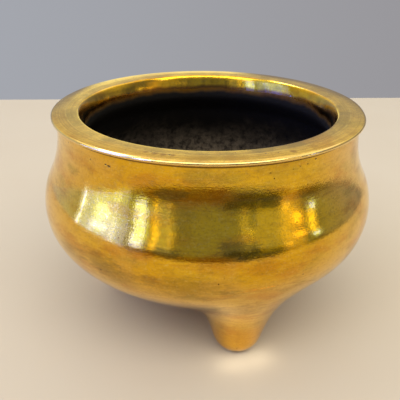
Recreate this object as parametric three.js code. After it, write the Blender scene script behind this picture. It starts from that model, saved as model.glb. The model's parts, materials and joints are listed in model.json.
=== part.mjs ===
// Tripod incense burner of cast brass: a round-bellied bowl with a flat turned lip,
// standing on three short feet whose roots flare out into the belly.
// Millimetres, +Z up. The origin is on the table under the middle of the bowl, one foot towards -Y.
import * as THREE from "three";

// Lip: a thin turned ring with a half-round edge, crowned on the outside, then level for a short way
const lipRadius = 60;
const lipThickness = 1.2;
const lipOverhang = 1.8;
const lipFillet = 0.9;
const crownWidth = 3.4;
const crownRound = 32;
const flatWidth = 2.4;

// Throat: the lip dips towards the mouth, rolls over its edge and bulges down as a band, and a slope
// runs from the narrowest place out to the belly's wall. A tilt of 90 degrees is upright.
const dipRound = 17;
const dipTilt = THREE.MathUtils.degToRad(10);
const mouthRound = 1.6;
const mouthTilt = THREE.MathUtils.degToRad(65);
const bandRound = 20;
const throatSlope = 9.5;

// Body
const bowlDepth = 77.7;
const neckHeight = 5.8;
const shoulderRound = 39;
const bellySwell = 7.5;
const bellyRound = 24.5;
const wall = 4.6;

// Feet: a blunt tip, a short taper and a flare that spreads over the belly
const footNames = ["foot_front", "foot_rear_right", "foot_rear_left"];
const tableClearance = 10.3;
const footCircle = 38.4;
const footTipRadius = 9.9;
const footFlat = 0.5;
const footTaper = THREE.MathUtils.degToRad(17);
const footStraight = 4.2;
const rootSplay = 9.7;
const rootInward = 30;
const rootOutward = 25.4;
const rootSideways = 24.9;
const rootEdge = 0.5;
const seatClearance = 0.3;
const flareFromFoot = 0.47;
const flareFromBelly = 0.38;

// Facets
const roundSteps = 64;
const outerSteps = { underside: 8, belly: 11, shoulder: 4 };
const innerSteps = { underside: 5, belly: 6, shoulder: 2 };
const footSteps = 32;
const flareSteps = 9;
const seatSteps = 5;

// Heights and radii that follow from the sizes above
const lipTop = tableClearance + bowlDepth;
const neckRadius = lipRadius - lipOverhang;
const bellyRadius = neckRadius + bellySwell;

// The outside of the body is three arcs that run into each other: the underside, centred on the
// axis, the belly, and the hollow shoulder under the neck.
const shoulder = { r: neckRadius + shoulderRound, z: lipTop - neckHeight, radius: shoulderRound };
const belly = { r: bellyRadius - bellyRound, radius: bellyRound };
belly.z = shoulder.z - Math.sqrt((shoulder.radius + belly.radius) ** 2 - (shoulder.r - belly.r) ** 2);
const bellyLift = belly.z - tableClearance;
const underside = {
  r: 0,
  radius: (belly.r ** 2 + bellyLift ** 2 - belly.radius ** 2) / (2 * (bellyLift - belly.radius)),
};
underside.z = tableClearance + underside.radius;

// Angles from straight down at which one arc runs into the next
const undersideEnd = Math.atan2(belly.r, underside.z - belly.z);
const bellyEnd = Math.PI / 2 + Math.atan2(shoulder.z - belly.z, shoulder.r - belly.r);

// A point on an arc of the profile, by its angle from straight down, at an added radius
function onArc(arc, angle, added = 0) {
  const radius = arc.radius + added;
  return new THREE.Vector2(arc.r + radius * Math.sin(angle), arc.z - radius * Math.cos(angle));
}

function arcPoints(arc, from, to, steps, added = 0) {
  return Array.from({ length: steps + 1 }, (_, i) => onArc(arc, from + ((to - from) * i) / steps, added));
}

// The arc of a radius that runs through a point at an angle
function arcThrough(point, angle, radius) {
  return { r: point.x - radius * Math.sin(angle), z: point.y + radius * Math.cos(angle), radius };
}

// The body's skin from the middle of the underside up the shoulder, moved out by an offset.
// The shoulder curves the other way, so moving out there makes its arc smaller.
function skinPoints(shoulderTop, steps, offset = 0) {
  return [
    ...arcPoints(underside, 0, undersideEnd, steps.underside, offset),
    ...arcPoints(belly, undersideEnd, bellyEnd, steps.belly, offset),
    ...arcPoints(shoulder, bellyEnd - Math.PI, shoulderTop, steps.shoulder, -offset),
  ];
}

// Fillet from the neck to the underside of the lip, the lip's half-round edge, and its crown
function lipPoints() {
  const crown = { r: lipRadius - crownWidth, z: lipTop - crownRound, radius: crownRound };
  const edge = { r: lipRadius - lipThickness / 2, radius: lipThickness / 2 };
  const lean = Math.asin((edge.r - crown.r) / (crown.radius - edge.radius));
  edge.z = crown.z + (crown.radius - edge.radius) * Math.cos(lean);
  const fillet = { r: neckRadius + lipFillet, z: edge.z - edge.radius - lipFillet, radius: lipFillet };
  return [
    ...arcPoints(fillet, -Math.PI / 2, -Math.PI, 3),
    ...arcPoints(edge, 0, Math.PI - lean, 6),
    ...arcPoints(crown, Math.PI - lean, Math.PI, 2),
  ];
}

// From the level part of the lip over the mouth's edge and down the band to the narrowest place
function mouthPoints() {
  const upright = 1.5 * Math.PI;
  const dipEnd = Math.PI + dipTilt;
  const mouthEnd = Math.PI + mouthTilt;
  const levelEnd = new THREE.Vector2(lipRadius - crownWidth - flatWidth, lipTop);
  const dip = arcThrough(levelEnd, Math.PI, dipRound);
  const mouth = arcThrough(onArc(dip, dipEnd), dipEnd, mouthRound);
  const band = arcThrough(onArc(mouth, mouthEnd), mouthEnd, bandRound);
  return [
    ...arcPoints(dip, Math.PI, dipEnd, 2),
    ...arcPoints(mouth, dipEnd, mouthEnd, 3),
    ...arcPoints(band, mouthEnd, upright, 4),
  ];
}

// The slope from the band's narrowest place out to where it lands on the inner wall
function slopePoints(start, landing, upTheWall) {
  const reach = throatSlope / 3;
  const slope = new THREE.CubicBezierCurve(
    start,
    new THREE.Vector2(start.x, start.y - reach),
    landing.clone().addScaledVector(upTheWall, reach),
    landing,
  );
  return slope.getPoints(5);
}

// Neighbours closer than this are one point of the profile
function withoutRepeats(points, least = 0.02) {
  return points.filter((p, i) => i === 0 || p.distanceTo(points[i - 1]) > least);
}

function bowlGeometry() {
  const mouth = mouthPoints();
  const landingZ = mouth.at(-1).y - throatSlope;
  const landingAngle = -Math.acos((shoulder.z - landingZ) / (shoulder.radius + wall));
  const inside = skinPoints(landingAngle, innerSteps, -wall);
  const upTheWall = new THREE.Vector2(-Math.cos(landingAngle), -Math.sin(landingAngle));
  const profile = withoutRepeats([
    ...skinPoints(-Math.PI / 2, outerSteps),
    ...lipPoints(),
    ...mouth,
    ...slopePoints(mouth.at(-1), inside.at(-1), upTheWall),
    ...inside.reverse(),
  ]);
  return new THREE.LatheGeometry(profile, roundSteps).rotateX(Math.PI / 2);
}

// How far along the skin from the middle of the underside it reaches a radius
function skinLengthAt(radius) {
  const undersideLength = underside.radius * undersideEnd;
  const edge = underside.radius * Math.sin(undersideEnd);
  if (radius < edge) return underside.radius * Math.asin(radius / underside.radius);
  const angle = Math.asin(Math.min(1, (radius - belly.r) / belly.radius));
  return undersideLength + belly.radius * (angle - undersideEnd);
}

// The profile point a length along the skin from the middle of the underside
function skinAt(length, offset = 0) {
  const angle = length / underside.radius;
  if (angle < undersideEnd) return onArc(underside, angle, offset);
  const past = (length - underside.radius * undersideEnd) / belly.radius;
  return onArc(belly, undersideEnd + past, offset);
}

// A point on the skin under the front foot. The heading is 0 outwards and 90 degrees sideways, and
// the share is 1 at the root's edge and 0 at its middle.
const rootCentre = skinLengthAt(footCircle + rootSplay);
const rootRadius = skinAt(rootCentre).x;
function rootPoint(heading, share, offset) {
  const reach = Math.cos(heading) > 0 ? rootOutward : rootInward;
  const along = skinAt(rootCentre + share * reach * Math.cos(heading), offset);
  const turn = (share * rootSideways * Math.sin(heading)) / rootRadius;
  return new THREE.Vector3(along.x * Math.sin(turn), -along.x * Math.cos(turn), along.y);
}

// One edge line of the foot, from the flat it stands on, up the tip and out along the flare
function footLine(heading) {
  const tip = { r: 0, z: footTipRadius - footFlat, radius: footTipRadius };
  const flatEdge = Math.acos(tip.z / tip.radius);
  const section = arcPoints(tip, flatEdge, Math.PI / 2 - footTaper, 4);
  const taper = new THREE.Vector2(Math.sin(footTaper), Math.cos(footTaper));
  section.push(section.at(-1).clone().addScaledVector(taper, footStraight));
  const place = (p) =>
    new THREE.Vector3(p.x * Math.sin(heading), -footCircle - p.x * Math.cos(heading), p.y);
  const line = section.map(place);

  const start = line.at(-1);
  const startWay = start.clone().sub(line.at(-2)).normalize();
  const end = rootPoint(heading, 1, seatClearance + rootEdge);
  const endWay = end.clone().sub(rootPoint(heading, 0.98, seatClearance + rootEdge)).normalize();
  const span = start.distanceTo(end);
  const flare = new THREE.CubicBezierCurve3(
    start,
    start.clone().addScaledVector(startWay, flareFromFoot * span),
    end.clone().addScaledVector(endWay, -flareFromBelly * span),
    end,
  );
  return [...line, ...flare.getPoints(flareSteps).slice(1)];
}

// The seat follows the belly from the root's edge to the middle of the root
function seatLine(heading) {
  return Array.from({ length: seatSteps }, (_, i) => rootPoint(heading, 1 - i / seatSteps, seatClearance));
}

// Joins lines that all run from one end point to another into a closed solid
function skinOver(lines, first, last) {
  const rows = lines[0].length;
  const positions = [...lines.flat(), first, last].flatMap((p) => p.toArray());
  const firstIndex = lines.length * rows;
  const faces = [];
  lines.forEach((_, i) => {
    const here = i * rows;
    const next = ((i + 1) % lines.length) * rows;
    faces.push(firstIndex, next, here);
    for (let row = 0; row < rows - 1; row += 1) {
      faces.push(here + row, next + row, here + row + 1);
      faces.push(next + row, next + row + 1, here + row + 1);
    }
    faces.push(here + rows - 1, next + rows - 1, firstIndex + 1);
  });
  const geometry = new THREE.BufferGeometry();
  geometry.setAttribute("position", new THREE.Float32BufferAttribute(positions, 3));
  geometry.setIndex(faces);
  geometry.computeVertexNormals();
  return geometry;
}

function footGeometry() {
  const headings = Array.from({ length: footSteps }, (_, i) => (2 * Math.PI * i) / footSteps);
  const lines = headings.map((heading) => [...footLine(heading), ...seatLine(heading)]);
  return skinOver(lines, new THREE.Vector3(0, -footCircle, 0), rootPoint(0, 0, seatClearance));
}

const bowlBrass = new THREE.MeshStandardMaterial({ color: 0xb88a2c, roughness: 0.28, metalness: 1 });
const footBrass = new THREE.MeshStandardMaterial({ color: 0xb98a2f, roughness: 0.34, metalness: 1 });

const burner = new THREE.Group();

const bowl = new THREE.Mesh(bowlGeometry(), bowlBrass);
bowl.name = "bowl";
burner.add(bowl);

footNames.forEach((name, i) => {
  const foot = new THREE.Mesh(footGeometry(), footBrass);
  foot.name = name;
  foot.rotation.z = (2 * Math.PI * i) / footNames.length;
  burner.add(foot);
});

export default burner;
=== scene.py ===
# %% [markdown]
# # A tripod incense burner of cast brass
#
# The burner is one casting: a round-bellied bowl with a flat turned lip, on three blunt feet. It was
# turned and hand-polished on the outside, and years of use have left it scratched, pitted and brown in
# places. Inside, only the upright band under the lip still shines, through a brown film. Below it the wall
# is black with soot.
#
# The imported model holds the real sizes. This script dresses it: a smooth body and smooth feet take the
# place of the faceted solids, and procedural materials give the finish.

# %% Load the fixed frame
import json
import math

import bmesh
import bpy
from mathutils import Matrix, Quaternion, Vector, geometry, noise

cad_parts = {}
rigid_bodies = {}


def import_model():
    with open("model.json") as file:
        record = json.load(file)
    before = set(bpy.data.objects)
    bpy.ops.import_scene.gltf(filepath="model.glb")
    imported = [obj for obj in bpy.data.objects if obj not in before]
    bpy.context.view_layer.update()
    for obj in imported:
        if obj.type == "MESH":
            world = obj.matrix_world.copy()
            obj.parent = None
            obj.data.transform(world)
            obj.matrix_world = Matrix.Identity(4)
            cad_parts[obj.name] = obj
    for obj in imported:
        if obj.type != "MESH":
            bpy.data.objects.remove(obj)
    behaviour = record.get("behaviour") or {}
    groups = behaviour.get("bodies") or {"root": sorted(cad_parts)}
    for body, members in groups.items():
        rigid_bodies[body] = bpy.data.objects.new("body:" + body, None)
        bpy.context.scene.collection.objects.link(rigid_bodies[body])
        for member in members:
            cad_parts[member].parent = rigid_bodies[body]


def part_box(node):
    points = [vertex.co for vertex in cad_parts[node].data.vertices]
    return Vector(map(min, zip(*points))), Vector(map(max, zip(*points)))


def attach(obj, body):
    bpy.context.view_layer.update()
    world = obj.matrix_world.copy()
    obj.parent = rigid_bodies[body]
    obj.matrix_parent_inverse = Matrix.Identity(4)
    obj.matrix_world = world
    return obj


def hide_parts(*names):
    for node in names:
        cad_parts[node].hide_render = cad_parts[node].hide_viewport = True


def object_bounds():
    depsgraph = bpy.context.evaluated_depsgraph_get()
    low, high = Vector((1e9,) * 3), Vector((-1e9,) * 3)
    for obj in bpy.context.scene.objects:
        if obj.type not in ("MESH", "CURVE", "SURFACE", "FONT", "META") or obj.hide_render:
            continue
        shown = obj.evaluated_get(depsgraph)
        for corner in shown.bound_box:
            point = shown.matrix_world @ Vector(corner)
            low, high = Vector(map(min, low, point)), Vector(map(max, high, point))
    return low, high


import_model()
cad_low, cad_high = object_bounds()
MM = 0.001
print("CAD box in mm:", [round(v / MM, 1) for v in (*cad_low, *cad_high)])

# %% [markdown]
# ## Camera
#
# A close view makes a bowl look the way the eye remembers it: the near lip is wide and low and the far
# lip is small. The camera therefore stands only some 22 cm from the mouth. It is aimed at the middle of
# the mouth first, and then turned so that the mouth lands at its place in the picture, because a lens
# shift would also move every other view.

# %% Where the camera stands
picture_size = 400
focal_pixels = 550
sensor_width = 36
nearest_seen = 10 * MM
mouth_pixel = (207.8, 104.5)
view_turn = math.radians(-19.15)
view_height = math.radians(16.13)
view_distance = 218.2 * MM
view_roll = math.radians(0.68)


def towards(turn, height):
    """A direction, by its turn to the right of the camera's side and its height over the horizon."""
    angle = view_turn + turn
    return Vector((math.sin(angle) * math.cos(height), -math.cos(angle) * math.cos(height), math.sin(height)))


print("The camera stands", round(math.degrees(view_height), 1), "degrees above the mouth's own level")

# %% Camera
mouth = Vector((0, 0, cad_high.z))
camera = bpy.data.objects.new("camera", bpy.data.cameras.new("camera"))
bpy.context.collection.objects.link(camera)
bpy.context.scene.camera = camera
camera.data.sensor_width = sensor_width
camera.data.lens = focal_pixels * sensor_width / picture_size
camera.data.clip_start = nearest_seen
across = mouth_pixel[0] - picture_size / 2
down = mouth_pixel[1] - picture_size / 2
aim = -towards(0, view_height)
turned = (
    aim.to_track_quat("-Z", "Y")
    @ Quaternion((0, 0, 1), view_roll)
    @ Quaternion((0, 1, 0), math.atan2(across, focal_pixels))
    @ Quaternion((1, 0, 0), math.atan2(down, math.hypot(focal_pixels, across)))
)
camera.matrix_world = Matrix.Translation(mouth - aim * view_distance) @ turned.to_matrix().to_4x4()
print("Camera stands at", [round(v / MM, 1) for v in camera.location], "mm, lens", camera.data.lens)

# %% [markdown]
# ## Floor
#
# The burner stands on a pale table. Polished metal shows what is around it, so the table has real edges:
# its front edge draws the line between the gold and the dark band on the belly.

# %% Size of the table
table_front = -325 * MM
table_back = 324 * MM
table_left = -900 * MM
table_right = 450 * MM
table_edge = 12 * MM
table_askew = math.radians(3.5)
print("Table runs from", round(table_front / MM), "to", round(table_back / MM), "mm")


# %% Floor
def mesh_object(name, bm):
    """Turn a finished bmesh into an object at the origin."""
    mesh = bpy.data.meshes.new(name)
    bm.to_mesh(mesh)
    bm.free()
    thing = bpy.data.objects.new(name, mesh)
    bpy.context.collection.objects.link(thing)
    return thing


bm = bmesh.new()
bmesh.ops.create_cube(bm, size=1)
extent = (table_right - table_left, table_back - table_front, table_edge)
middle = ((table_left + table_right) / 2, (table_back + table_front) / 2, -table_edge / 2)
askew = Matrix.Rotation(view_turn + table_askew, 3, "Z")
bmesh.ops.scale(bm, vec=extent, verts=bm.verts[:])
bmesh.ops.translate(bm, vec=middle, verts=bm.verts[:])
bmesh.ops.rotate(bm, cent=(0, 0, 0), matrix=askew, verts=bm.verts[:])
floor = mesh_object("floor", bm)
floor_top = max(point.co.z for point in floor.data.vertices)
print("Floor:", len(floor.data.polygons), "faces, top at", round(floor_top / MM, 3), "mm")

# %% [markdown]
# ## The outline of the body
#
# A turned body is drawn as half a section. Vertex lists would do, but the maker's own way is nicer: the
# outline is arcs and straight runs that flow into each other, so a pen keeps one vertex and the way it is
# heading. An arc spins that vertex round the arc's centre, which leaves a chain of vertices behind it.

# %% Sizes of the body
lip_radius = 60 * MM
lip_thickness = 1.5 * MM
lip_overhang = 1.8 * MM
lip_fillet = 0.9 * MM
crown_width = 4.6 * MM
crown_round = 34 * MM
flat_width = 1.2 * MM
dip_round = 7 * MM
dip_width = 3.4 * MM
dip_tilt = math.radians(2)
mouth_round = 1.0 * MM
mouth_tilt = math.radians(65)
band_round = 20 * MM
throat_slope = 9.5 * MM
neck_height = 5.8 * MM
shoulder_round = 39 * MM
belly_round = 24.9 * MM
wall = 4.6 * MM

lip_top = cad_high.z
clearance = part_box("bowl")[0].z
neck_radius = lip_radius - lip_overhang
belly_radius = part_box("bowl")[1].x
shoulder_r = neck_radius + shoulder_round
shoulder_z = lip_top - neck_height
belly_r = belly_radius - belly_round
belly_z = shoulder_z - math.sqrt((shoulder_round + belly_round) ** 2 - (shoulder_r - belly_r) ** 2)
belly_lift = belly_z - clearance
underside_round = (belly_r**2 + belly_lift**2 - belly_round**2) / (2 * (belly_lift - belly_round))
underside_z = clearance + underside_round
underside_end = math.atan2(belly_r, underside_z - belly_z)
belly_end = math.pi / 2 + math.atan2(shoulder_z - belly_z, shoulder_r - belly_r)
print("Belly radius", round(belly_radius / MM, 2), "at", round(belly_z / MM, 2), "mm above the table")


# %% A pen that draws an outline
class Pen:
    """One vertex in the plane of radius and height, and the angle of its way over the horizon."""

    def __init__(self, bm, radius, height):
        self.bm = bm
        self.vertex = bm.verts.new((radius, 0, height))
        self.heading = 0.0

    @property
    def place(self):
        return self.vertex.co.copy()

    def way(self, turn=0.0):
        return Vector((math.cos(self.heading + turn), 0, math.sin(self.heading + turn)))

    def step(self, goal):
        """Extrude the vertex, and put the new one at a goal."""
        self.vertex = bmesh.ops.extrude_vert_indiv(self.bm, verts=[self.vertex])["verts"][0]
        self.vertex.co = goal

    def arc(self, radius, turn, steps):
        """Run on round a bend. A positive turn bends to the left of the way."""
        centre = self.place + self.way(math.copysign(math.pi / 2, turn)) * radius
        spun = {"cent": centre, "axis": (0, -1, 0), "angle": turn, "steps": steps}
        self.vertex = bmesh.ops.spin(self.bm, geom=[self.vertex], **spun)["geom_last"][0]
        self.heading += turn

    def line(self, length, steps=1):
        """Run straight on."""
        for _ in range(steps):
            self.step(self.place + self.way() * length / steps)

    def curve(self, goal, heading, reach, steps):
        """Bend along a Bezier curve to a goal, and arrive there with a heading."""
        first = self.place + self.way() * reach
        self.heading = heading
        last = goal - self.way() * reach
        for point in geometry.interpolate_bezier(self.place, first, last, goal, steps + 1)[1:]:
            self.step(point)


# %% Outside of the body, from the pole under it to the lip's level ring
body = bmesh.new()
along_layer = body.verts.layers.float.new("along")
depth_layer = body.verts.layers.float.new("depth")
edge_round = lip_thickness / 2
crown_lean = math.asin((crown_width - edge_round) / (crown_round - edge_round))
edge_z = lip_top - crown_round + (crown_round - edge_round) * math.cos(crown_lean)

pen = Pen(body, 0, clearance)
pen.arc(underside_round, underside_end, 32)
pen.arc(belly_round, belly_end - underside_end, 40)
pen.arc(shoulder_round, math.pi / 2 - belly_end, 22)
pen.line(edge_z - edge_round - lip_fillet - pen.place.z, 3)
pen.arc(lip_fillet, -math.pi / 2, 6)
pen.line(lip_radius - edge_round - pen.place.x)
pen.arc(edge_round, math.pi - crown_lean, 14)
pen.arc(crown_round, crown_lean, 4)
pen.line(flat_width, 3)
outside_count = len(body.verts)
print("Outside of the body:", outside_count, "points")

# %% [markdown]
# ## Inside of the body
#
# The mouth is narrower than the hollow. The lip dips towards it, rolls over its edge and bulges down as a
# band, and below the band the wall slopes out again. Every point of the inside remembers how deep it lies
# under the lip, because the heat of the coals, the soot and the ash colour the wall by depth. Every point
# also keeps its way along the outline, which is where the turning marks run.

# %% Inside of the body
pen.arc(dip_round, dip_tilt, 4)
pen.line(dip_width, 3)
pen.arc(mouth_round, mouth_tilt - dip_tilt, 9)
pen.arc(band_round, math.pi / 2 - mouth_tilt, 10)
mouth_depth = lip_top - pen.place.z
print("Mouth radius", round(pen.place.x / MM, 2), "at", round(mouth_depth / MM, 2), "mm under the lip")

inner_shoulder = shoulder_round + wall
landing_z = pen.place.z - throat_slope
landing_angle = -math.acos((shoulder_z - landing_z) / inner_shoulder)
landing = Vector((shoulder_r + inner_shoulder * math.sin(landing_angle), 0, landing_z))
pen.curve(landing, 2 * math.pi + landing_angle, throat_slope / 3, 14)
pen.arc(inner_shoulder, belly_end - math.pi - landing_angle, 6)
pen.arc(belly_round - wall, underside_end - belly_end, 26)
pen.arc(underside_round - wall, -underside_end, 22)

outline = list(body.verts)
for before, point in zip(outline, outline[1:]):
    point[along_layer] = before[along_layer] + (point.co - before.co).length
for point in outline[outside_count:]:
    point[depth_layer] = lip_top - point.co.z
print("Floor of the bowl is", round(pen.place.z / MM, 2), "mm above the table")
print("The outline is", round(outline[-1][along_layer] / MM, 1), "mm long")

# %% [markdown]
# ## Spin the outline, and leave the hand of the polisher in it
#
# A lathe leaves a perfect surface, but a casting that was scraped and polished by hand for years has soft
# flats and swells, a tenth or two of a millimetre deep. They can't be seen as such, but they bend every
# reflection. Bump alone would leave the mesh too perfect, so the points themselves are moved a little.

# %% The polisher's hand
hand_swell = 0.3 * MM
swell_size = 22 * MM
ripple_size = 0.45 * swell_size
ripple_share = 0.35
mean_swell = 0.45
swell_spread = 0.4
heart = Vector((0, 0, belly_z))


def swell(place):
    """The small move inwards that years of polishing gave this place."""
    wave = noise.noise(place / swell_size) + ripple_share * noise.noise(place / ripple_size)
    return (heart - place).normalized() * hand_swell * (mean_swell + swell_spread * wave)


belly_front = Vector((0, -belly_radius, belly_z))
print("The front of the belly is worn by", round(swell(belly_front).length / MM, 2), "mm")

# %% Spin the body
around_steps = 192
merge_distance = 0.001 * MM
bmesh.ops.spin(
    body,
    geom=body.verts[:] + body.edges[:],
    cent=(0, 0, 0),
    axis=(0, 0, 1),
    angle=2 * math.pi,
    steps=around_steps,
    use_merge=True,
)
bmesh.ops.remove_doubles(body, verts=body.verts[:], dist=merge_distance)
bmesh.ops.recalc_face_normals(body, faces=body.faces[:])
for point in body.verts:
    point.co += swell(point.co)
for face in body.faces:
    face.smooth = True
bowl = mesh_object("bowl_body", body)
print("Body:", len(bowl.data.polygons), "faces")

# %% [markdown]
# ## Feet
#
# Each foot is a blunt tip with a short taper, whose root flares out until it lies flat on the belly. It
# starts as a circle, the small flat it stands on. The circle's edge is extruded again and again, and each
# new ring is put where the foot has it. The rings end on the belly's skin, so the foot grows out of the
# body as cast metal does, and the last ones sink a hair under it, so that no gap shows. A vertex layer keeps
# each point's heading round the foot through the extrusions. Only the ring on the belly keeps a sharp edge,
# and the body's swell fades out towards the tip.

# %% Sizes of a foot
foot_circle = 38.4 * MM
foot_tip_radius = 9.9 * MM
foot_flat = 0.5 * MM
foot_taper = math.radians(17)
foot_straight = 4.2 * MM
root_splay = 9.7 * MM
root_inward = 30 * MM
root_outward = 25.4 * MM
root_sideways = 24.9 * MM
root_skin = 0.02 * MM
seat_sunk = 10 * root_skin
seat_overlap = 1.02
seat_span = 0.9
flare_from_foot = 0.47
flare_from_belly = 0.38
foot_sides = 96


def skin_length(radius):
    """How far along the skin from the pole under the body it reaches a radius."""
    if radius < underside_round * math.sin(underside_end):
        return underside_round * math.asin(radius / underside_round)
    return underside_round * underside_end + belly_round * (
        math.asin((radius - belly_r) / belly_round) - underside_end
    )


def skin_at(length, offset):
    """The radius and height of the skin's point a length from the pole, lifted off it by an offset."""
    angle = length / underside_round
    middle_r, middle_z, bend = 0, underside_z, underside_round + offset
    if angle > underside_end:
        angle = underside_end + (length - underside_round * underside_end) / belly_round
        middle_r, middle_z, bend = belly_r, belly_z, belly_round + offset
    return middle_r + bend * math.sin(angle), middle_z - bend * math.cos(angle)


root_centre = skin_length(foot_circle + root_splay)
root_radius = skin_at(root_centre, 0)[0]
print("The middle of a root lies", round(root_radius / MM, 1), "mm from the axis")


def root_point(heading, share, offset):
    """A place on the skin over the front foot: share 1 is the root's edge and 0 its middle."""
    reach = root_outward if math.cos(heading) > 0 else root_inward
    radius, height = skin_at(root_centre + share * reach * math.cos(heading), offset)
    turn = share * root_sideways * math.sin(heading) / root_radius
    return Vector((radius * math.sin(turn), -radius * math.cos(turn), height))


# %% Tip of a foot
tip_steps, straight_steps, flare_steps, seat_steps = 10, 3, 30, 6
tip_centre = foot_tip_radius - foot_flat
flat_edge = math.acos(tip_centre / foot_tip_radius)
flat_radius = foot_tip_radius * math.sin(flat_edge)
print("Each foot stands on a flat", round(2 * flat_radius / MM, 1), "mm across")


def tip_point(heading, angle, along=0):
    """A place on the round tip, by its angle from straight down, or further along the taper."""
    out = foot_tip_radius * math.sin(angle) + along * math.sin(foot_taper)
    up = tip_centre - foot_tip_radius * math.cos(angle) + along * math.cos(foot_taper)
    return Vector((out * math.sin(heading), -foot_circle - out * math.cos(heading), up))


# %% Flare of a foot
def flare_points(heading):
    """The flare's curve from the end of the taper to the root's edge on the belly."""
    start = tip_point(heading, math.pi / 2 - foot_taper, foot_straight)
    way = (start - tip_point(heading, math.pi / 2 - foot_taper)).normalized()
    end = root_point(heading, 1, root_skin)
    landing_way = (end - root_point(heading, 0.98, root_skin)).normalized()
    span = (end - start).length
    first = start + way * flare_from_foot * span
    last = end - landing_way * flare_from_belly * span
    return geometry.interpolate_bezier(start, first, last, end, flare_steps + 1)


outer_flare = flare_points(0)
flare_ends = [round(point.z / MM, 1) for point in (outer_flare[0], outer_flare[-1])]
print("The outer side of the flare runs between heights of", flare_ends, "mm")


# %% One side line of a foot
def foot_column(heading):
    """All places of one side line of a foot, from the flat it stands on to the middle of its seat."""
    side = math.pi / 2 - foot_taper
    bend = side - flat_edge
    places = [tip_point(heading, flat_edge + bend * i / tip_steps) for i in range(tip_steps + 1)]
    places += [tip_point(heading, side, foot_straight * i / straight_steps) for i in range(1, straight_steps)]
    places += flare_points(heading)
    places += [root_point(heading, seat_overlap, root_skin)]
    shares = [seat_overlap - seat_span * i / seat_steps for i in range(seat_steps + 1)]
    places += [root_point(heading, share, -seat_sunk) for share in shares]
    return places


print("A side line has", len(foot_column(0)), "points")


# %% Loft a foot
def make_foot(name, turn):
    """Loft a foot ring by ring, close it, and turn it to its place under the belly."""
    bm = bmesh.new()
    heading_layer = bm.verts.layers.float.new("heading")
    carry_layer = bm.verts.layers.float.new("carry")
    ring = bmesh.ops.create_circle(bm, cap_ends=True, radius=1, segments=foot_sides)["verts"]
    for i, point in enumerate(ring):
        point[heading_layer] = i
    columns = [foot_column(2 * math.pi * i / foot_sides) for i in range(foot_sides)]
    rows = len(columns[0])
    rim = rows - seat_steps - 2
    for row in range(rows):
        for point in ring:
            point.co = columns[round(point[heading_layer])][row]
            point[carry_layer] = min(1, max(0, (row - tip_steps) / (flare_steps / 2)))
        if row == rows - 1:
            break
        edges = {e for point in ring for e in point.link_edges if e.other_vert(point) in ring}
        for edge in edges:
            edge.smooth = row != rim
        made = bmesh.ops.extrude_edge_only(bm, edges=list(edges))["geom"]
        ring = [g for g in made if isinstance(g, bmesh.types.BMVert)]
    bmesh.ops.holes_fill(bm, edges=[e for e in bm.edges if e.is_boundary], sides=0)
    bmesh.ops.recalc_face_normals(bm, faces=bm.faces[:])
    bmesh.ops.rotate(bm, cent=(0, 0, 0), matrix=Matrix.Rotation(turn, 3, "Z"), verts=bm.verts[:])
    for point in bm.verts:
        point.co += swell(point.co) * point[carry_layer]
    for face in bm.faces:
        face.smooth = True
    return mesh_object(name, bm)


# %% The three feet
feet = {}
foot_nodes = ("foot_front", "foot_rear_right", "foot_rear_left")
for i, node in enumerate(foot_nodes):
    feet[node] = make_foot(node + "_cast", 2 * math.pi * i / len(foot_nodes))
    print(node, len(feet[node].data.polygons), "faces")

# %% [markdown]
# ## Writing materials as sums
#
# Node trees grow large and hard to read. One small class wraps a socket and overloads the operators, so a
# pattern can be written as a formula, and every step of the formula adds its Math node. A second class
# holds the tree and makes the nodes. A third one is a material, and knows the place on the object.

# %% Numbers that vary over a surface
class Varying:
    """A socket that carries a number, a vector or a colour."""

    def __init__(self, sheet, socket):
        self.sheet = sheet
        self.socket = socket

    def math(self, operation, *others):
        values = dict(enumerate((self, *others)))
        return self.sheet.node("ShaderNodeMath", {"operation": operation}, values)

    def __add__(self, other):
        return self.math("ADD", other)

    def __sub__(self, other):
        return self.math("SUBTRACT", other)

    def __rsub__(self, other):
        return self.sheet.node("ShaderNodeMath", {"operation": "SUBTRACT"}, {0: other, 1: self})

    def __mul__(self, other):
        return self.math("MULTIPLY", other)

    def __truediv__(self, other):
        return self.math("DIVIDE", other)

    __radd__ = __add__
    __rmul__ = __mul__

    def rise(self, low, high):
        """0 below low, 1 above high and a smooth rise between. It falls if high is under low."""
        start, end = (1.0, 0.0) if high < low else (0.0, 1.0)
        values = {0: self, 1: min(low, high), 2: max(low, high), 3: start, 4: end}
        return self.sheet.node("ShaderNodeMapRange", {"interpolation_type": "SMOOTHSTEP"}, values)

    def between(self, low, high, soft):
        """1 between two values, and 0 outside them, with soft ends."""
        return self.rise(low - soft, low) * self.rise(high + soft, high)


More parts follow.
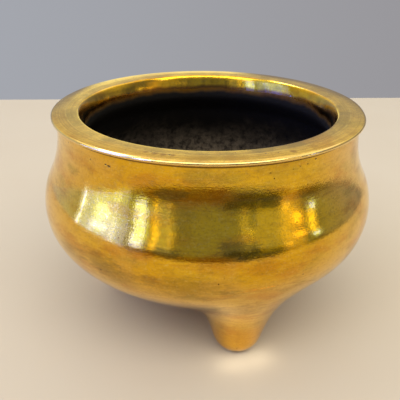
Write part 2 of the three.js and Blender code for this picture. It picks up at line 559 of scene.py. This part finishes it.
# %% A tree of nodes
class Sheet:
    """A node tree that is built from expressions."""

    def __init__(self, tree):
        self.tree = tree

    def feed(self, socket, value):
        """Set a socket to a value, or link it."""
        if isinstance(value, Varying):
            self.tree.links.new(value.socket, socket)
        else:
            socket.default_value = value

    def node(self, kind, settings=None, inputs=None, output=0):
        """Add a node: its settings first, then the values or links of its sockets."""
        made = self.tree.nodes.new(kind)
        for key, value in (settings or {}).items():
            setattr(made, key, value)
        for key, value in (inputs or {}).items():
            self.feed(made.inputs[key], value)
        return Varying(self, made.outputs[output])

    def split(self, vector):
        """The three numbers of a vector."""
        parts = self.node("ShaderNodeSeparateXYZ", inputs={0: vector}).socket.node
        return [Varying(self, socket) for socket in parts.outputs]

    def join(self, x, y, z):
        return self.node("ShaderNodeCombineXYZ", inputs={0: x, 1: y, 2: z})

    def vector_math(self, operation, first, second, output=0):
        """Vector arithmetic between a socket and a vector."""
        return self.node("ShaderNodeVectorMath", {"operation": operation}, {0: first, 1: second}, output)

    def noise(self, vector, detail=2.0, roughness=0.5):
        """Noise about 0.5 over a place whose unit is one blot."""
        inputs = {"Vector": vector, "Scale": 1, "Detail": detail, "Roughness": roughness}
        return self.node("ShaderNodeTexNoise", {"noise_dimensions": "3D"}, inputs)

    def mix(self, factor, first, second):
        """Mix two colours."""
        return self.node("ShaderNodeMix", {"data_type": "RGBA"}, {0: factor, 6: first, 7: second}, 2)


# %% A finish for a surface
class Finish(Sheet):
    """A material, with the place on the object in millimetres."""

    def __init__(self, name):
        self.material = bpy.data.materials.new(name)
        self.material.use_nodes = True
        super().__init__(self.material.node_tree)
        self.shader = self.tree.nodes["Principled BSDF"]
        where = self.node("ShaderNodeTexCoord", output="Object")
        self.place = self.node("ShaderNodeVectorMath", {"operation": "SCALE"}, {0: where, "Scale": 1 / MM})
        self.x, self.y, self.z = self.split(self.place)
        self.radius = (self.x * self.x + self.y * self.y).math("SQRT")
        self.tint = None

    def lay(self, mask, tone):
        """Lay a tone over the colour so far, where the mask says so."""
        self.tint = self.mix(mask, self.tint, tone)

    def fix(self, **values):
        """Set values that are the same all over, on the shader's own sockets."""
        for key, value in values.items():
            self.shader.inputs[key.replace("_", " ")].default_value = value

    def drive(self, **values):
        """Link what changes over the surface to the shader's sockets."""
        for key, value in values.items():
            self.feed(self.shader.inputs[key.replace("_", " ")], value)

    def cloud(self, size, detail=2.0, stretch=(1, 1, 1), offset=0.0, roughness=0.5):
        """Noise whose blots are as large as size, in millimetres, and longer along a stretch."""
        scale = tuple(1 / (size * s) for s in stretch)
        values = {0: self.place, 1: scale, 2: (offset,) * 3}
        moved = self.node("ShaderNodeVectorMath", {"operation": "MULTIPLY_ADD"}, values)
        return self.noise(moved, detail, roughness)

    def attribute(self, name):
        """A layer of the mesh that holds a length, in millimetres."""
        return self.node("ShaderNodeAttribute", {"attribute_name": name}, output="Fac") / MM

    def spots(self, places, soft=0.5, ragged=0.0, flat=1.0):
        """1 at each listed place and 0 beyond its size. The edges can be ragged, and the spots flat."""
        covered = 0
        frayed = (self.cloud(3, 5, (1.6, 1.6, 0.5), 17.7, 0.65) - 0.5) * ragged
        for turn, radius, height, size in places:
            angle = math.radians(turn)
            centre = (radius * math.sin(angle), -radius * math.cos(angle), height)
            away = self.vector_math("SUBTRACT", self.place, centre)
            away = self.vector_math("MULTIPLY", away, (1, 1, 1 / flat))
            length = self.node("ShaderNodeVectorMath", {"operation": "LENGTH"}, {0: away}, "Value")
            covered = (length / size + frayed).rise(1, 1 - soft).math("MAXIMUM", covered)
        return covered


# %% A colour
def colour(red, green, blue):
    """A colour by its values on a screen, made linear for the renderer."""
    screen = (red, green, blue)
    return tuple(c / 12.92 if c < 0.04045 else ((c + 0.055) / 1.055) ** 2.4 for c in screen) + (1.0,)


# %% [markdown]
# ## Polished brass
#
# Old brass has no single colour. The alloy shows through the polish as copper-red, pink and green-brown
# clouds. Rubbing on the lathe and by hand left fine marks that run round the body, small casting pits hold
# dark dirt, and a few nicks sit where the burner was knocked. Brown and olive patches darken the lower
# belly. Spots along the borders of the dark band on the belly are painted reflection of the table's dark
# front edge and the brown shade at it. Noise alone would put these anywhere, so the marks that catch the
# eye are listed by their place. The body and the feet share one finish that depends only on the place, so
# that no seam shows where a foot grows out of the body. A lathe can't reach between the feet, so the rings
# that it turned fade out above their roots.

# %% Where the marks are: turn in degrees, radius, height and size in millimetres
nicks = [
    (-51.5, 58.2, 81.8, 0.95),
    (-52.8, 58.2, 82.1, 0.7),
    (-26.2, 58.3, 78.2, 0.5),
    (17.1, 58.2, 84.4, 0.6),
    (0.4, 58.2, 82.6, 0.4),
    (14.2, 58.6, 76.5, 0.4),
    (-52, 64.8, 46.4, 0.6),
    (10.6, 65.1, 47.3, 0.5),
    (8.4, 58.2, 82.7, 0.35),
    (11, 58.2, 83.2, 0.4),
    (13.8, 58.2, 83.4, 0.45),
    (-37.7, 54.6, 88, 0.8),
    (-36.4, 54.9, 88, 0.6),
    (-31.1, 55.2, 88, 0.9),
    (0, 54.8, 88, 0.45),
    (4, 55.6, 88, 0.4),
]
# Brown patches that darken the belly, most of them low down.
brown_patches = [
    (-35.6, 65.1, 47.7, 5.5),
    (-12, 65.4, 44, 6),
    (-52, 65.1, 50, 12),
    (-26, 54, 27, 9),
    (-8, 58, 32, 11),
]
# Dark olive spots. The two on the belly, at the lower border of the dark band, are painted reflection of the
# table's dark front edge; the two higher up are olive spots.
tarnished = [(-30.2, 64.6, 58.8, 5), (-9.6, 64.3, 59.9, 8.5), (0.5, 59.1, 73.2, 5), (-30, 58.6, 76, 6)]
# Red-brown patches along the borders of the dark band are painted reflection of the brown shade at the
# table's front.
band_border_reflections = [(-14, 65, 56.5, 12), (-38, 64.9, 57.5, 8), (-12, 58.8, 75, 13), (-3, 65.3, 54, 10)]
# Olive patches that darken the lower belly.
lower_olive_patches = [(-24, 65, 46.5, 17), (-46, 65, 46, 15), (-66, 65, 48, 13)]
burnt = [
    (-39, 55, 88, 1.6),
    (-36, 55.2, 88, 1.9),
    (-33, 55.5, 88, 1.7),
    (-30, 55.6, 88, 1.5),
    (9, 56.5, 88, 1.5),
]
print("Marks:", len(nicks + brown_patches + tarnished + band_border_reflections + lower_olive_patches + burnt))

# %% Tones of old brass, by their red, green and blue on a screen
pale_gold = colour(0.90, 0.72, 0.13)
deep_gold = colour(0.89, 0.68, 0.08)
pink_gold = colour(0.87, 0.66, 0.34)
glancing_gold = colour(0.95, 0.80, 0.48)
foot_gold = colour(0.84, 0.61, 0.08)
copper_red = colour(0.78, 0.50, 0.13)
green_brown = colour(0.64, 0.56, 0.20)
red_brown = colour(0.70, 0.40, 0.06)
dull_olive = colour(0.54, 0.42, 0.17)
tarnish_olive = colour(0.40, 0.36, 0.14)
patch_brown = colour(0.42, 0.33, 0.18)
fresh_scratch = colour(0.97, 0.84, 0.48)
brush_brown = colour(0.62, 0.42, 0.10)
mottle_brown = colour(0.60, 0.45, 0.12)
bright_speck = colour(0.90, 0.80, 0.46)
dark_speck = colour(0.50, 0.41, 0.20)
pit_dirt = colour(0.25, 0.15, 0.05)
print("The brass runs from", [round(c, 2) for c in pit_dirt[:3]], "to", [round(c, 2) for c in pale_gold[:3]])

# %% Patterns in the brass
turned_from = (24, 44)
ring_width = 0.8
ring_bend = 70


def brass_patterns(name):
    """Everything on the outside that varies, before it gets a colour."""
    f = Finish(name)
    f.along = f.attribute("along")
    turned = f.z.rise(*turned_from)
    f.rings = (f.noise(f.join(f.x / ring_bend, f.y / ring_bend, f.along / ring_width), 3, 0.6) - 0.5) * turned
    f.streaks = f.cloud(5, 5, (2.0, 2.0, 0.22), 3.1, 0.6)
    f.mottle = f.cloud(3.4, 5, (1.3, 1.3, 0.8), 14.2, 0.65)
    f.grain = f.cloud(0.75, 3, offset=5.5, roughness=0.7)
    f.scuffs = f.cloud(1.0, 3, (1.4, 1.4, 0.4), 61.0, 0.7)
    f.copper = f.cloud(13, 4, (1.3, 1.3, 0.5), 7.3).rise(0.50, 0.68)
    f.green = f.cloud(15, 4, (1.2, 1.2, 0.6), 21.7).rise(0.53, 0.70)
    f.tarnish = f.spots(tarnished, 0.5, 2.0, 0.45)
    return f


# %% Colour of the brass, one layer over the other
def brass(name):
    """The colour of the outside. Metal looks paler where it is seen at a glancing angle."""
    f = brass_patterns(name)
    facing = f.node("ShaderNodeLayerWeight", inputs={"Blend": 0.5}, output="Facing")
    f.tint = f.mix(f.cloud(30, 3).rise(0.35, 0.65), pale_gold, deep_gold)
    f.lay(f.cloud(19, 4, offset=40).rise(0.52, 0.70) * 0.35, pink_gold)
    f.lay(facing.rise(0.25, 0.9), glancing_gold)
    f.lay(f.z.rise(26, 12) * 0.7, foot_gold)
    f.lay(f.copper * 0.5, copper_red)
    f.lay(f.green * 0.5, green_brown)
    # Red-brown painted reflection along the borders of the dark band.
    f.lay(f.spots(band_border_reflections, 0.8, 1.6, 0.45) * 0.45, red_brown)
    # Olive patches, darker on the lower belly.
    f.lay(f.spots(lower_olive_patches, 0.9, 1.2, 0.5) * 0.5, dull_olive)
    # Dark olive: painted reflection under the dark band, and two spots higher up.
    f.lay(f.tarnish * 0.6, tarnish_olive)
    # Brown patches, mostly on the lower belly.
    f.lay(f.spots(brown_patches, 0.8, 1.8, 0.6) * 0.42, patch_brown)
    f.lay(f.scuffs.rise(0.55, 0.70) * 0.35, fresh_scratch)
    f.lay(f.streaks.rise(0.48, 0.75) * 0.3, brush_brown)
    f.lay(f.mottle.rise(0.50, 0.68) * 0.26, mottle_brown)
    f.lay(f.cloud(1.1, 2, offset=33.0).rise(0.60, 0.72) * 0.22, bright_speck)
    f.lay(f.grain.rise(0.50, 0.66) * 0.26, dark_speck)
    return f


# %% [markdown]
# ## Gloss and relief of the brass
#
# Colour is only half of a metal. A polished surface is sharp in one place and dull in the next, so the
# roughness follows the same patterns as the colour does. The relief is a few hundredths of a millimetre
# deep, yet it is what breaks the mirrored windows up. Handling has left a thin wax film, which mirrors
# without the brass's own yellow. It is a weak coat, and the only part that can show a white window white.

# %% Gloss and relief. Heights in the relief are in hundredths of a millimetre
relief = 0.01 * MM
film = 0.25
polish = 0.075
pit_scale = 0.22


def casting_pits(f):
    """Pits in patches, with ragged edges, and the nicks."""
    where = {"Vector": f.place, "Scale": pit_scale, "Randomness": 1}
    specks = f.node("ShaderNodeTexVoronoi", {"feature": "F1"}, where)
    pits = (specks + (f.grain - 0.5) * 0.12).rise(0.075, 0.04) * f.cloud(7, 2, offset=11.0).rise(0.50, 0.56)
    return pits.math("MAXIMUM", f.spots(nicks, 0.7, 1.0, 0.6))


def finish_brass(f, crust=0):
    """Add the pits, the roughness and the bump. A crust is a height of its own."""
    pits = casting_pits(f)
    f.lay(pits * 0.85, pit_dirt)
    f.rough = polish + (f.mottle - 0.5) * 0.14 + (f.grain - 0.5) * 0.12 + f.rings * 0.1
    f.rough = f.rough + f.copper * 0.05 + f.green * 0.07 + f.tarnish * 0.06 + pits * 0.3
    height = f.rings * 0.9 + f.streaks + f.mottle * 2.2 + f.grain * 2.2 + f.scuffs * 1.3 - pits * 6 + crust
    bump = f.node("ShaderNodeBump", inputs={"Strength": 1, "Distance": relief, "Height": height})
    f.fix(Metallic=1, Coat_Weight=film, Specular_Tint=colour(1.0, 0.98, 0.92))
    f.drive(Base_Color=f.tint, Roughness=f.rough, Normal=bump)
    print(f.material.name, "has", len(f.tree.nodes), "nodes")
    return f.material


# %% Finish of the feet
foot_brass = finish_brass(brass("brass_feet"))
for node, foot in feet.items():
    foot.data.materials.append(foot_brass)
    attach(foot, "root")
    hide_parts(node)

# %% [markdown]
# ## The body's finish
#
# The body takes the same brass and adds what its use did, with some painted light on the lip. The lip was
# faced on the lathe, so its marks are rings round the axis, and hot sticks left brown spots on it. Its outer
# edge and the crest of its level ring get a painted highlight in pale gold, and the corner under it gets
# painted shade. Its inner ring is greyer in patches, partly stain and partly a painted reflection of the dim
# wall. Inside, the band is browned and streaked, a maroon heat tint runs under it, and below that lies
# flaking soot, which turns a paler grey in patches towards the floor. All of these follow the depth that
# each point remembers. Noise frays them, so that no border is a clean ring.

# %% Tones of the lip and the inside
shadow_brown = colour(0.30, 0.20, 0.07)
lathe_brown = colour(0.62, 0.44, 0.14)
stain_brown = colour(0.60, 0.42, 0.20)
inner_grey = colour(0.60, 0.52, 0.32)
burnt_red = colour(0.52, 0.31, 0.18)
highlight_gold = colour(0.95, 0.84, 0.55)
band_olive = colour(0.56, 0.45, 0.10)
drip_olive = colour(0.32, 0.26, 0.10)
heat_maroon = colour(0.27, 0.13, 0.06)
soot_black = colour(0.05, 0.045, 0.045)
lower_grey = colour(0.38, 0.34, 0.29)
soot_flake = colour(0.16, 0.13, 0.11)
print("Ash is", round(lower_grey[1] / soot_black[1], 1), "times as bright as soot")

# %% The lip, by heights and radii in millimetres
lathe_width = 0.45
lathe_bend = 45
f = brass("brass_body")
depth = f.attribute("depth")
# Painted shade in the corner under the lip, over the neck.
corner = f.z.between(85.3, 86.0, 0.15) * f.radius.rise(59.3, 58.6) * depth.rise(1.0, 0.5)
lip = f.z.rise(86.6, 87.2) * f.radius.rise(49.6, 50.2)
lathe = f.noise(f.join(f.x / lathe_bend, f.y / lathe_bend, f.radius / lathe_width), 4, 0.6)
stained = f.cloud(9, 5, offset=52.0, roughness=0.65).rise(0.38, 0.66)
# The greyer inner ring of the lip is partly stain and partly a painted reflection of the dim wall.
inner = f.radius.rise(54.3, 53.9) * lip
# Painted highlights: a pale line on the crest of the level ring, and one on the lip's outer edge.
crest_highlight = f.radius.between(54.2, 54.5, 0.25) * lip
edge_highlight = f.radius.rise(59.2, 59.6) * f.z.rise(86.3, 86.6)
# Painted shade under the lip.
f.lay(corner * 0.8, shadow_brown)
f.lay(lip * lathe.rise(0.42, 0.64) * 0.35, lathe_brown)
f.lay(lip * stained * 0.34, stain_brown)
# Grey inner ring: stain, and painted reflection of the dim wall.
f.lay(inner * stained * 0.5, inner_grey)
f.lay(f.spots(burnt, 0.8, 1.4) * 0.6, burnt_red)
# Painted highlight on the crest and on the outer edge of the lip.
f.lay(crest_highlight * f.mottle.rise(0.40, 0.60) * 0.5 + edge_highlight * 0.6, highlight_gold)
print("Nodes with the lip:", len(f.tree.nodes))

# %% The band, the heat tint, the soot and the paler grey below it, by depths in millimetres under the lip
ragged = depth + (f.cloud(9, 3, offset=2.2) - 0.5) * 3
browned = depth.between(1.2, 6, 0.6)
drips = f.cloud(5, 2, (1, 1, 3), 31).rise(0.40, 0.65) * depth.rise(0.8, 3)
heat = ragged.rise(3.6, 5.2)
soot = ragged.rise(5.0, 8.2)
# A paler grey in patches, deeper down the inside.
paler_below = (depth + (f.cloud(12, 4, offset=9.1) - 0.5) * 22).rise(20, 46)
flakes = f.cloud(3.2, 6, offset=71.0, roughness=0.7)
f.lay(browned * 0.42, band_olive)
f.lay(drips * 0.55, drip_olive)
f.lay(heat * 0.85, heat_maroon)
f.lay(soot, soot_black)
# Paler grey in patches towards the floor of the bowl.
f.lay(paler_below * soot * flakes.rise(0.28, 0.66), lower_grey)
f.lay(soot * flakes.rise(0.60, 0.72) * 0.6, soot_flake)
print("Nodes with the soot and the ash:", len(f.tree.nodes))

# %% Soot is rough and no metal, and its crust stands out from the wall
crust_height = 30
bowl_brass = finish_brass(f, flakes * soot * crust_height)
f.fix(Specular_IOR_Level=0.15)
f.drive(Roughness=f.rough + heat * 0.12 + soot * 0.6, Metallic=1 - soot, Coat_Weight=(1 - soot) * film)
bowl.data.materials.append(bowl_brass)
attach(bowl, "root")
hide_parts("bowl")

# %% [markdown]
# ## The table's finish
#
# The table wears a plain pale cloth. Its colour only wanders a little from place to place, because a strong
# weave would show in the metal as a pattern that nobody looks for.

# %% Finish of the table
linen = (0.505, 0.455, 0.38, 1)
worn_linen = (0.485, 0.425, 0.345, 1)
linen_patch = 60
f = Finish("pale_cloth")
f.fix(Roughness=0.8, Specular_IOR_Level=0.2)
f.drive(Base_Color=f.mix(f.cloud(linen_patch, 3), linen, worn_linen))
floor.data.materials.append(f.material)
print(f.material.name, "has", len(f.tree.nodes), "nodes")

# %% [markdown]
# ## Light
#
# Polished brass is mostly a picture of the room, so the light is planned as reflections. One wide softbox
# high in front and a cool wash from the left light the table. All the other panes show only in the metal:
# tall pale ones to the left, which give the upright streaks on the belly, and small amber ones to the
# right. Each is placed by where the metal should mirror it, so its place and size are angles seen from the
# burner. Brass takes most of the blue out of what it mirrors, so the daylight in them is bluer than any real
# one. Last comes one small warm glint at the front foot, the light that polished metal throws down.

# %% Tints of the light
skylight = (1.0, 1.3, 2.6)
daylight = (1.0, 1.65, 9.0)
cream = (1.0, 1.2, 2.0)
lampshade = (1.0, 0.93, 0.80)
amber = (1.0, 0.70, 0.05)
yellow = (1.0, 0.86, 0.12)
thrown_down = (1.0, 0.92, 0.70)
print("Daylight is", daylight[2] / daylight[0], "times as blue as it is red, and lampshade", lampshade[2])

# %% Soft lamps
pane_distance = 2.0


def soft_lamp(name, wide, tall, glow, tint, place):
    """A rectangle of light. Four times its area makes it as bright as its glow, wherever it is mirrored."""
    lamp = bpy.data.lights.new(name, "AREA")
    lamp.shape = "RECTANGLE"
    lamp.size = wide
    lamp.size_y = tall
    lamp.energy = 4 * glow * lamp.size * lamp.size_y
    lamp.color = tint
    thing = bpy.data.objects.new(name, lamp)
    bpy.context.collection.objects.link(thing)
    thing.matrix_world = place
    thing.visible_camera = False
    return thing


def pane(name, turn, height, wide, tall, glow, tint, lights_table=False):
    """A pane that faces the burner. Its place and its size are in degrees, as seen from there."""
    wide_m, tall_m = (2 * pane_distance * math.tan(math.radians(span) / 2) for span in (wide, tall))
    way = towards(math.radians(turn), math.radians(height))
    facing = way.to_track_quat("Z", "Y").to_matrix().to_4x4()
    place = Matrix.Translation(heart + way * pane_distance) @ facing
    soft_lamp(name, wide_m, tall_m, glow, tint, place).visible_diffuse = lights_table


# %% Panes that light the table too
pane("front_softbox", 4, 55, 80, 30, 3.1, lampshade, lights_table=True)
pane("left_wash", -72, 42, 50, 22, 0.34, skylight, lights_table=True)
print("Lamps that light the table:", len(bpy.data.lights))

# %% Panes that show only in the metal: turn, height, how wide and how tall in degrees, glow and tint
mirrored = {
    "far_left_line": (-90, 1, 1.8, 16, 2.2, daylight),
    "far_left_pane": (-83, 10, 10, 34, 0.42, daylight),
    "left_pane": (-71, 11, 17, 38, 0.6, daylight),
    "left_haze": (-58, 11, 12, 38, 0.4, daylight),
    "left_core": (-72, 8, 10, 9, 0.8, daylight),
    "left_low_core": (-71, -6, 5, 5, 0.9, daylight),
    "left_strip": (-60.5, 11, 1.6, 38, 0.8, daylight),
    "middle_pane": (-44, 14, 8.5, 32, 1.15, daylight),
    "amber_line": (-33.5, 16, 1.8, 32, 2.4, yellow),
    "amber_panel": (-28, 16, 9, 34, 0.22, cream),
    "amber_edge": (-24, 16, 1.4, 32, 0.9, yellow),
    "right_line": (25, 14, 4, 24, 0.3, yellow),
    "right_dot": (29, 21, 2, 3, 1.5, yellow),
    "golden_panel": (45, 16, 24, 34, 0.22, yellow),
    "amber_haze": (57, 10, 14, 36, 0.34, amber),
    "amber_spot": (61.5, 10, 6, 8, 1.5, amber),
    "orange_spot": (53, 3, 4, 4, 0.8, amber),
    "yellow_spot": (72, 11, 5, 10, 1.5, yellow),
    "white_spot": (73.5, 2.5, 5, 4, 1.3, daylight),
    "far_right_haze": (100, 2, 40, 18, 0.07, lampshade),
    "left_skylight": (-120, 55, 30, 14, 4.5, skylight),
}
for name, values in mirrored.items():
    pane(name, *values)
print("Panes mirrored in the metal:", len(mirrored))

# %% Glint on the table, beyond the front foot
glint_out = 10 * MM
glint_height = 7 * MM
glint_place = Matrix.Translation((0, -foot_circle - glint_out, glint_height))
glint_wide = 20 * MM
glint_deep = 4 * MM
glint = soft_lamp("foot_glint", glint_wide, glint_deep, 2.6, thrown_down, glint_place)
glint.visible_glossy = False
print("Glint stands", round(-glint.matrix_world.translation.y / MM, 1), "mm in front of the axis")

# %% [markdown]
# ## The room
#
# Where the brass mirrors no pane it mirrors the room, so the world is painted by direction: by the height
# over the horizon, and by the turn to the right of the camera. The far wall is grey and bluer to the left,
# with a warm top and one bright opening in the middle. The near wall, behind the camera, is blue-grey and
# dim, with brown below the horizon and a dark board and a dark ledge to the right. The ceiling is brightest
# over the far side, which gives the flat lip its pale top. Whole pictures of rooms exist for this, but only
# painted colours can be put exactly where the metal should show them.

# %% Directions into the room
world = bpy.data.worlds.new("studio")
bpy.context.scene.world = world
world.use_nodes = True
sky = Sheet(world.node_tree)
way = sky.node("ShaderNodeTexCoord", output="Generated")
height = sky.split(way)[2].math("ARCSINE").math("DEGREES")
ahead = sky.vector_math("DOT_PRODUCT", way, tuple(towards(0, 0)), "Value")
aside = sky.vector_math("DOT_PRODUCT", way, tuple(towards(math.pi / 2, 0)), "Value")
turn = aside.math("ARCTAN2", ahead).math("DEGREES")
print("Ways into the room take", len(world.node_tree.nodes), "nodes")

# %% Far wall
grey_wall = (0.31, 0.30, 0.315, 1)
cool_wall = (0.38, 0.395, 0.435, 1)
blue_corner = (0.60, 0.68, 0.85, 1)
warm_top = (0.84, 0.78, 0.50, 1)
opening = (1.2, 1.15, 0.6, 1)
far_wall = sky.mix(aside.rise(0.6, -0.6), grey_wall, cool_wall)
far_wall = sky.mix(aside.rise(-0.45, -0.85), far_wall, blue_corner)
far_wall = sky.mix(height.rise(10, 22), far_wall, warm_top)
far_wall = sky.mix(height.between(1, 13, 6) * aside.between(-0.19, 0.03, 0.07), far_wall, opening)
print("Nodes with the far wall:", len(world.node_tree.nodes))

# %% Near wall
dim_wall = (0.29, 0.32, 0.43, 1)
brown_below = (0.25, 0.17, 0.08, 1)
dark_ledge = (0.06, 0.04, 0.025, 1)
dark_board = (0.09, 0.10, 0.09, 1)
near_wall = sky.mix(turn.between(-38, 10, 14) * height.rise(-1, -5), dim_wall, brown_below)
near_wall = sky.mix(turn.between(22, 100, 6) * height.between(-9, -6.5, 1.5), near_wall, dark_ledge)
near_wall = sky.mix(turn.between(14, 49, 3) * height.between(-3, 3, 2), near_wall, dark_board)
print("Nodes with the near wall:", len(world.node_tree.nodes))

# %% Ceiling, and the whole room
far_ceiling = (1.55, 1.5, 1.4, 1)
near_ceiling = (0.7, 0.69, 0.66, 1)
top_ceiling = (1.05, 1.02, 0.97, 1)
walls = sky.mix(ahead.rise(-0.25, 0.25), far_wall, near_wall)
ceiling = sky.mix(ahead.rise(-0.1, 0.5), far_ceiling, near_ceiling)
ceiling = sky.mix(height.rise(45, 60), ceiling, top_ceiling)
room = sky.mix(height.rise(29, 36), walls, ceiling)
sky.feed(world.node_tree.nodes["Background"].inputs["Color"], room)
print("The room is painted with", len(world.node_tree.nodes), "nodes")

# %% Plain screen colours, with no film curve over them
bpy.context.scene.view_settings.view_transform = "Standard"
print("View transform:", bpy.context.scene.view_settings.view_transform)
